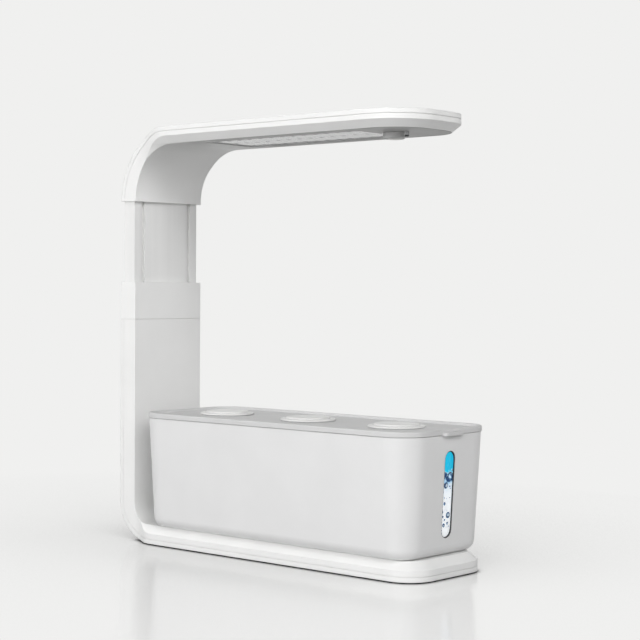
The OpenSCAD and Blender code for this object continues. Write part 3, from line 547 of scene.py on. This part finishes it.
def bubble(across, up, radius):
    """Flat dome on the inside of the pane, turned about the line out of the wall."""
    bend = np.linspace(0, math.pi / 2, 9)[:, None]
    turn = np.linspace(0, 2 * math.pi, 25)
    reach = radius * np.sin(bend)
    rise = BUBBLE_RISE * (radius / BUBBLE_R[1]) ** BUBBLE_RISE_POWER * np.cos(bend)
    x, y = across + reach * np.cos(turn), up + reach * np.sin(turn)
    front = on_wall(WATER_FRONT + rise + 0 * turn, x, y)
    back = on_wall(WATER_FRONT - BUBBLE_ROOT + 0 * rise + 0 * turn, x, y)
    return np.concatenate([front, back[::-1]])


def clear_pane(tree, place):
    """Clear acrylic, polished on both sides and only faintly blue."""
    cloud = add(tree, "TexNoise", {"Vector": place, "Scale": 1 / (20 * MM)})
    return add(tree, "BsdfPrincipled", {
        "Base Color": add(tree, "Mix", {"Factor": cloud, "A": linear("#D8F0FA"), "B": linear("#C8EAF8")},
                          data_type="RGBA"),
        "Roughness": 0.04, "IOR": 1.49, "Alpha": 0.03})


def feed_water(tree, place):
    """Tinted water behind the pane: colours by height, with a slow swell all over and splashes only near
    the level. It glows a little, in place of the light that the tank's white inside sends through it."""
    share = add(tree, "MapRange", {"Value": add(tree, "SeparateXYZ", [place], output="Z"),
                                   "From Min": WINDOW_MIDDLE[2] - PANE_HEIGHT / 2,
                                   "From Max": WINDOW_MIDDLE[2] + PANE_HEIGHT / 2})
    swell = patches(tree, place, 9, -0.02, 0.02)
    splash = patches(tree, place, 4.5, -0.1, 0.1, detail=4.0, roughness=0.7)
    below, above = (add(tree, "MapRange", {"Value": share, "From Min": start, "From Max": end})
                    for start, end in (SPLASH_BELOW, SPLASH_ABOVE))
    lively = add(tree, "Math", [below, above], operation="MULTIPLY")
    thrown = add(tree, "Math", [splash, lively, swell], operation="MULTIPLY_ADD")
    colours = add(tree, "ValToRGB", [add(tree, "Math", [share, thrown], operation="ADD")])
    stops = colours.node.color_ramp.elements
    for position, _ in LEVEL_COLOURS[1:-1]:
        stops.new(position)
    for stop, (_, colour) in zip(stops, LEVEL_COLOURS):
        stop.color = linear(colour)
    return add(tree, "BsdfPrincipled", {
        "Base Color": colours, "Emission Color": colours, "Emission Strength": 0.3,
        "Roughness": 0.25, "IOR": 1.2})


def bubble_skin(tree, place):
    """Air in water: its rim bends the dark surroundings into a ring, which is made uneven here."""
    rim_share = add(tree, "Attribute", output="Fac", attribute_name="rim")
    wobble = patches(tree, place, 2.6, -0.3, 0.3)
    colours = add(tree, "ValToRGB", [add(tree, "Math", [rim_share, wobble], operation="ADD")])
    stops = colours.node.color_ramp.elements
    for position, _ in RIM_COLOURS[1:-1]:
        stops.new(position)
    for stop, (_, colour) in zip(stops, RIM_COLOURS):
        stop.color = linear(colour)
    return add(tree, "BsdfPrincipled", {
        "Base Color": colours, "Roughness": 0.15, "IOR": 1.33, "Coat Weight": 0.6, "Coat Roughness": 0.03})


dress(foot_rubber, "window_gasket", "lid_gasket")
dress(material("clear_acrylic", clear_pane), "sight_window")
across, up = stadium(PANE_HALF, PANE_HEIGHT)
water_levels = [(WATER_BACK, 0), (WATER_BACK, 1), (WATER_FRONT - WATER_EDGE, 1), (WATER_FRONT, 0.97),
                (WATER_FRONT, 0)]
make("window_water", [slab(across, up, water_levels)], material("tinted_water", feed_water),
     "tank")

draw = np.random.default_rng(11)
bubble_r = BUBBLE_R[0] + (BUBBLE_R[1] - BUBBLE_R[0]) * draw.uniform(0, 1, BUBBLES) ** BUBBLE_CROWDING
bubble_up = PANE_HEIGHT * (draw.uniform(*BUBBLE_BAND, BUBBLES) - 0.5)
bubble_across = (PANE_HALF - bubble_r - BUBBLE_GAP) * draw.uniform(-1, 1, BUBBLES)
# in the round end of the window the bubbles keep inside its circle
near_end = np.clip((-PANE_HEIGHT / 2 + PANE_HALF - bubble_up) / PANE_HALF, 0, 0.9)
bubble_across *= np.sqrt(1 - near_end ** 2)
large = np.array(LARGE_BUBBLES).T * MM
clear_of = (np.hypot(bubble_across - large[0][:, None], bubble_up - large[1][:, None])
            > bubble_r + large[2][:, None] + BUBBLE_GAP).all(0)
bubble_across = np.append(large[0], bubble_across[clear_of])
bubble_up = np.append(large[1], bubble_up[clear_of])
bubble_r = np.append(large[2], bubble_r[clear_of])
bubbles = make("water_bubbles", [bubble(*values) for values in zip(bubble_across, bubble_up, bubble_r)],
               material("bubble_skin", bubble_skin), "tank", 80.0)
points = np.empty(3 * len(bubbles.data.vertices))
bubbles.data.vertices.foreach_get("co", points)
middles = on_wall(WATER_FRONT + 0 * bubble_up, bubble_across, bubble_up)
gap = np.linalg.norm(points.reshape(-1, 1, 3) - middles, axis=2) / bubble_r
rim = bubbles.data.attributes.new("rim", "FLOAT", "POINT")
rim.data.foreach_set("value", np.clip(gap.min(1), 0, 1))


# ---- Lid ----
# A slightly crowned ABS lid with a pull tab, moulded in a coarser matt tool
# than the tank, which makes it look greyer. Its rubber seal is tucked under it.

lid_abs = material("matt_lid_abs", moulded_plastic, light="#D6D6D6", dark="#D1D1D1", roughness=0.5,
                   grain_mm=0.7, depth_mm=0.02, edge_mm=0.5)
dress(lid_abs, "lid")


# ---- Pods ----
# Net cups of moulded polypropylene hang in the lid by their flange, each with
# a peat sponge and a dished cap that covers the seed.

SPONGE_ROUGH = 0.35 * MM
SPONGE_TAPER = 0.84
# size of the lumps, and their share of the roughness
SPONGE_LUMPS = ((2.2 * MM, 0.6), (0.9 * MM, 0.4))
SPONGE_FLAT_R = 2 * MM
SEED_HOLE_R = 3 * MM
SEED_HOLE_DEPTH = 9 * MM
PEAT_CELL = 1.1 * MM
PEAT_PORE_DEPTH = 0.5 * MM


def crumble(points, seed, size, waves=48):
    """Smooth random value at each point: a sum of sine waves in random directions, about size long."""
    draw = np.random.default_rng(seed)
    direction = draw.normal(size=(3, waves))
    direction *= 2 * math.pi / size * draw.uniform(0.6, 1.6, waves) / np.linalg.norm(direction, axis=0)
    return np.sin(points @ direction + draw.uniform(0, 2 * math.pi, waves)).sum(-1) / math.sqrt(waves)


def sponge_surface(low, high, seed):
    """Tapered plug turned about Z with a seed hole in its top; each point moves inwards by two sizes of
    random crumble, but for the poles."""
    centre = (low + high) / 2
    top_r = (high.x - low.x) / 2 - SPONGE_ROUGH
    span = high.z - low.z
    foot = np.linspace(0, top_r * SPONGE_TAPER, 16)
    side = np.linspace(0, 1, 44)
    brow = np.linspace(top_r, SEED_HOLE_R, 18)[1:]
    hole = np.linspace(0, 1, 12)
    bed = np.linspace(SEED_HOLE_R, 0, 4)
    radius = np.concatenate([foot, top_r * (SPONGE_TAPER + (1 - SPONGE_TAPER) * side), brow,
                             SEED_HOLE_R + 0 * hole, bed])
    height = np.concatenate([0 * foot, span * side, span + 0 * brow, span - SEED_HOLE_DEPTH * hole,
                             span - SEED_HOLE_DEPTH + 0 * bed])
    surface = lathe(np.stack([radius, height], axis=1), (centre.x, centre.y, low.z), 90)
    surface[:, -1] = surface[:, 0]
    lumps = sum(crumble(surface, seed + i, size) * share for i, (size, share) in enumerate(SPONGE_LUMPS))
    lumps[:, -1] = lumps[:, 0]
    middle = np.array([centre.x, centre.y, centre.z])
    inward = (middle - surface) / np.linalg.norm(middle - surface, axis=2, keepdims=True)
    flat = np.concatenate([[0], np.clip(radius[1:-1] / SPONGE_FLAT_R, 0, 1), [0]])[:, None]
    depth = SPONGE_ROUGH * (0.6 + 0.5 * np.clip(lumps, -1, 1)) * flat
    return surface + inward * depth[:, :, None]


def peat_foam(tree, place):
    """Peat bound into a sponge: brown crumbs with darker open pores between them."""
    cell = add(tree, "TexVoronoi", {"Vector": place, "Scale": 1 / PEAT_CELL})
    crumb = add(tree, "TexNoise", {"Vector": place, "Scale": 1 / (1.4 * MM), "Detail": 5.0,
                                   "Roughness": 0.7})
    speck = add(tree, "Math", [crumb, cell], operation="MULTIPLY")
    dark = add(tree, "MapRange", {"Value": speck, "From Min": 0.1, "From Max": 0.45})
    return add(tree, "BsdfPrincipled", {
        "Base Color": add(tree, "Mix", {"Factor": dark, "A": linear("#6B5038"), "B": linear("#2E2118")},
                          data_type="RGBA"),
        "Roughness": add(tree, "MapRange", {"Value": cell, "From Min": 0.3, "From Max": 0.7,
                                            "To Min": 0.8, "To Max": 0.98}),
        "IOR": 1.45,
        "Normal": add(tree, "Bump", {"Height": cell, "Distance": PEAT_PORE_DEPTH})})


pod_polypropylene = material("moulded_polypropylene", moulded_plastic, light="#ECECEB", dark="#E8E8E7",
                             roughness=0.33, grain_mm=0.6, depth_mm=0.004, edge_mm=0.4)
peat = material("peat_sponge", peat_foam)
for i in (1, 2, 3):
    dress(pod_polypropylene, f"pod_basket_{i}", f"pod_cap_{i}")
    sponge = make(f"peat_sponge_{i}", [sponge_surface(*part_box(f"pod_sponge_{i}"), seed=10 * i)],
                  peat, f"pod_{i}", 60.0)
    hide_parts(f"pod_sponge_{i}")


# ---- Worktop, backdrop, lamps and camera ----
# The garden stands on a pale polished worktop that fades into a plain backdrop.
# Broad square lamps all round it, most of them low and at its front, stay out
# of the camera's sight.

BACKDROP = "#F0F0EF"
# what the worktop sends back up at the garden, as against how bright it looks
BOUNCE = "#C4C4C4"
BOUNCE_DIMMING = 2.0
WORLD_STRENGTH = 0.02
WHITE = (1.0, 1.0, 1.0, 1.0)
SHADE_COLOUR = "#0A0A0A"
SHADE_REACH = 0.6
SHADE_HEADING = 317
SHADE_RISE = 50
SHADE_FULL = 0.17
SHADE_NONE = 0.92
CONTACT_REACH = 8 * MM
CONTACT_FULL = 0.45
CONTACT_NONE = 0.8
POLISH_ROUGHNESS = 0.16
POLISH_IOR = 1.45
GLOSS_NEAR = 0.5
GLOSS_FAR = 1.2
FLOOR_REACH = 40.0


def toward(heading, rise):
    """Unit vector at a heading round the garden and a rise above the worktop, both in degrees."""
    turn, lift = math.radians(heading), math.radians(rise)
    return Vector((math.cos(turn) * math.cos(lift), math.sin(turn) * math.cos(lift), math.sin(lift)))


def seen(tree):
    """1 for camera, glossy and transmission rays, and 0 for the rays that carry light to the garden."""
    camera, glossy, through = (add(tree, "LightPath", output=f"Is {kind} Ray")
                               for kind in ("Camera", "Glossy", "Transmission"))
    either = add(tree, "Math", [camera, glossy], operation="MAXIMUM")
    return add(tree, "Math", [either, through], operation="MAXIMUM")


def laid_worktop(tree, place):
    """Worktop as bright as the backdrop, less a soft shade where the garden hides the light from the
    front and a thin dark line where it touches, with a polish that fades out away from the garden."""
    to_light = add(tree, "CombineXYZ", toward(SHADE_HEADING, SHADE_RISE))
    open_sky = add(tree, "AmbientOcclusion", {"Distance": SHADE_REACH, "Normal": to_light}, output="AO",
                   samples=4)
    shade = add(tree, "MapRange", {"Value": open_sky, "From Min": SHADE_FULL, "From Max": SHADE_NONE})
    touch = add(tree, "AmbientOcclusion", {"Distance": CONTACT_REACH}, output="AO", samples=4)
    contact = add(tree, "MapRange", {"Value": touch, "From Min": CONTACT_FULL, "From Max": CONTACT_NONE})
    kept = add(tree, "Math", [shade, contact], operation="MULTIPLY")
    colour = add(tree, "Mix", {"Factor": kept, "A": linear(SHADE_COLOUR), "B": linear(BACKDROP)},
                 data_type="RGBA")
    laid = add(tree, "Emission", {"Color": colour})
    reach = add(tree, "VectorMath", [place], operation="LENGTH")
    near = add(tree, "MapRange", {"Value": reach, "From Min": GLOSS_FAR, "From Max": GLOSS_NEAR})
    near = add(tree, "Math", [near, contact], operation="MULTIPLY")
    shine = add(tree, "Math", [add(tree, "Fresnel", {"IOR": POLISH_IOR}), near], operation="MULTIPLY")
    polish = add(tree, "BsdfGlossy", {"Color": WHITE, "Roughness": POLISH_ROUGHNESS})
    polished = add(tree, "MixShader", [shine, laid, polish])
    # the light that the worktop sends up is darkened near the garden by the same painted shade, more
    # steeply
    dim = add(tree, "Math", [shade, BOUNCE_DIMMING], operation="POWER")
    colour = add(tree, "Mix", {"Factor": dim, "A": linear(SHADE_COLOUR), "B": linear(BOUNCE)},
                 data_type="RGBA")
    bounce = add(tree, "BsdfDiffuse", {"Color": colour})
    return add(tree, "MixShader", [seen(tree), bounce, polished])


world = bpy.data.worlds.new("studio")
bpy.context.scene.world = world
world.use_nodes = True
tree = world.node_tree
tree.nodes.clear()
sky = add(tree, "Background", {"Color": WHITE, "Strength": WORLD_STRENGTH})
backdrop = add(tree, "Background", {"Color": linear(BACKDROP), "Strength": 1.0})
add(tree, "OutputWorld", {"Surface": add(tree, "MixShader", [seen(tree), sky, backdrop])})

corners = [(x * FLOOR_REACH, y * FLOOR_REACH, 0) for x, y in ((-1, -1), (1, -1), (1, 1), (-1, 1))]
floor_mesh = bpy.data.meshes.new("worktop")
floor_mesh.from_pydata(corners, [], [(0, 1, 2, 3)])
floor_mesh.materials.append(material("gloss_worktop", laid_worktop))
floor = bpy.data.objects.new("worktop", floor_mesh)
bpy.context.scene.collection.objects.link(floor)

LAMP_REACH = 3.6
LAMP_AIM = 0.2
LAMP_SIZE = 1.5
# lamps lower than this would show as a bright patch in the polish of the worktop
GLARE_RISE = 33
# heading and rise in degrees, then power in watts
LAMPS = (("right_lamp", 330, 32, 54.0), ("front_lamp", 270, 10, 38.5), ("low_lamp", 300, 15, 28.0),
         ("left_lamp", 225, 10, 23.5), ("back_lamp", 45, 10, 15.5), ("end_lamp", 30, 15, 3.0),
         ("high_left_lamp", 225, 52, 7.0), ("high_lamp", 295, 52, 5.5), ("fill_lamp", 135, 55, 7.0),
         ("back_fill_lamp", 180, 35, 8.0))


def soft_lamp(name, heading, rise, power):
    """Square area lamp on a sphere round the garden, facing its middle."""
    lamp = bpy.data.lights.new(name, "AREA")
    lamp.size = LAMP_SIZE
    lamp.energy = power
    holder = bpy.data.objects.new(name, lamp)
    target = Vector((0, 0, LAMP_AIM))
    holder.location = target + LAMP_REACH * toward(heading, rise)
    holder.rotation_euler = (target - holder.location).to_track_quat("-Z", "Y").to_euler()
    holder.visible_camera = False
    holder.visible_glossy = rise > GLARE_RISE
    bpy.context.scene.collection.objects.link(holder)


for lamp in LAMPS:
    soft_lamp(*lamp)

CAMERA_PLACE = (1.0907, -1.2073, 0.2643)
CAMERA_HEADING = 41.16
CAMERA_DIP = 1.09
CAMERA_ROLL = 0.37
CAMERA_SENSOR_MM = 36
CAMERA_LENS_MM = 92.12

camera_data = bpy.data.cameras.new("camera")
camera_data.sensor_width = CAMERA_SENSOR_MM
camera_data.lens = CAMERA_LENS_MM
camera = bpy.data.objects.new("camera", camera_data)
camera.matrix_world = (
    Matrix.Translation(CAMERA_PLACE)
    @ Matrix.Rotation(math.radians(CAMERA_HEADING), 4, "Z")
    @ Matrix.Rotation(math.radians(90 - CAMERA_DIP), 4, "X")
    @ Matrix.Rotation(math.radians(CAMERA_ROLL), 4, "Z"))
bpy.context.scene.collection.objects.link(camera)
bpy.context.scene.camera = camera
bpy.context.scene.view_settings.view_transform = "Standard"
